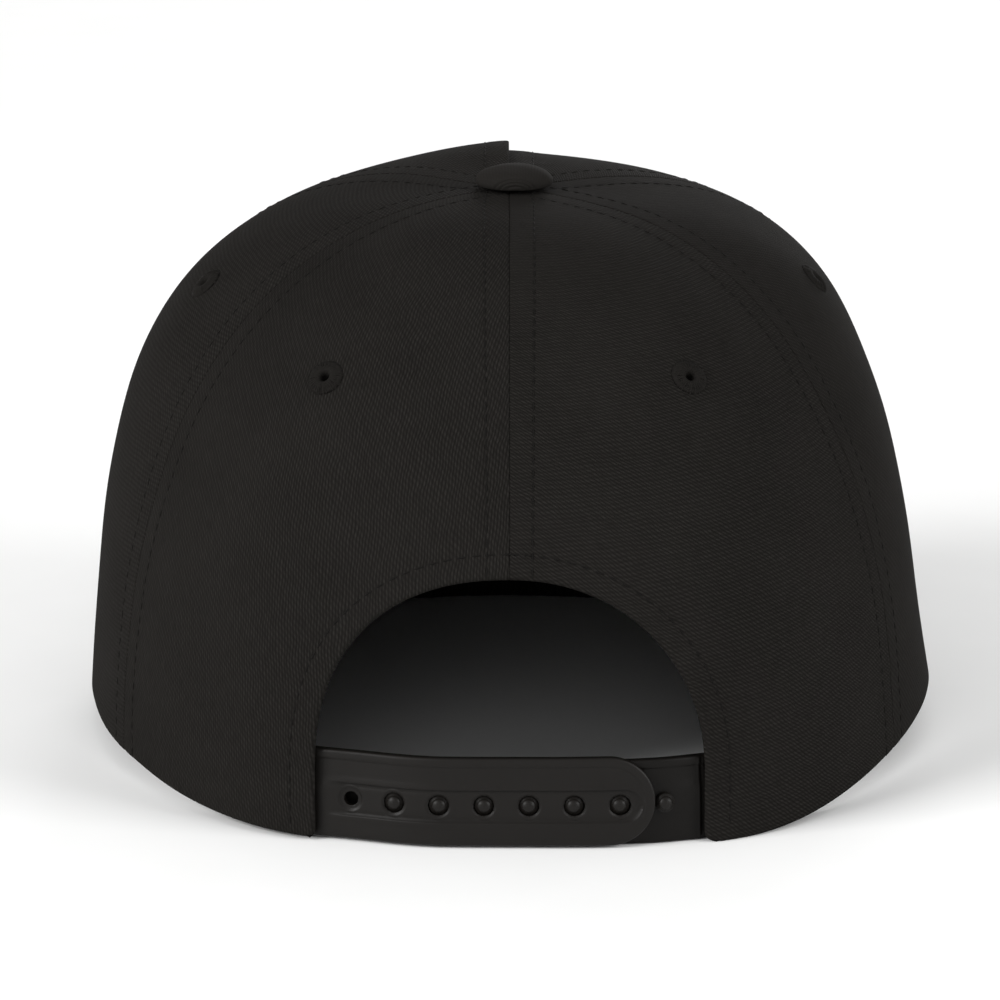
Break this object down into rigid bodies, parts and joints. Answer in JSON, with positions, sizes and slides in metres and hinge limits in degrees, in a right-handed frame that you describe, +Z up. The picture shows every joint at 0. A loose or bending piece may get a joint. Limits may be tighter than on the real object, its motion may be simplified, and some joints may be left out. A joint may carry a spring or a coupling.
{
  "type": "flat bill cap",
  "caption": "Flat bill cap with a rounded panelled crown, stitched air holes, covered button, stiff flat bill, sweatband and a plastic snap strap under a rear arch opening.",
  "frame": {"origin": "on the standing surface, under the middle of the cap's length and width", "axes": "+Y towards the bill, -Y the back with the strap, +Z up, -X the wearer's left"},
  "size_m": [0.188, 0.2626, 0.1246],
  "materials": {
    "crown_twill": "matt black cotton twill",
    "eyelet_thread": "satin stitched thread",
    "button_twill": "matt black cotton twill drawn over a dome",
    "bill_twill": "matt black cotton twill over a stiff board",
    "band_twill": "soft matt black cotton",
    "strap_plastic": "satin moulded soft plastic"
  },
  "bodies": {
    "root": {"panel_rear_right": "crown_twill", "panel_side_right": "crown_twill", "panel_front_right": "crown_twill", "panel_front_left": "crown_twill", "panel_side_left": "crown_twill", "panel_rear_left": "crown_twill", "eyelet_rear_left": "eyelet_thread", "eyelet_rear_right": "eyelet_thread", "eyelet_side_left": "eyelet_thread", "eyelet_side_right": "eyelet_thread", "eyelet_front_left": "eyelet_thread", "eyelet_front_right": "eyelet_thread", "button": "button_twill", "bill": "bill_twill", "sweatband": "band_twill", "strap_holes": "strap_plastic", "strap_pegs": "strap_plastic"}
  },
  "joints": []
}
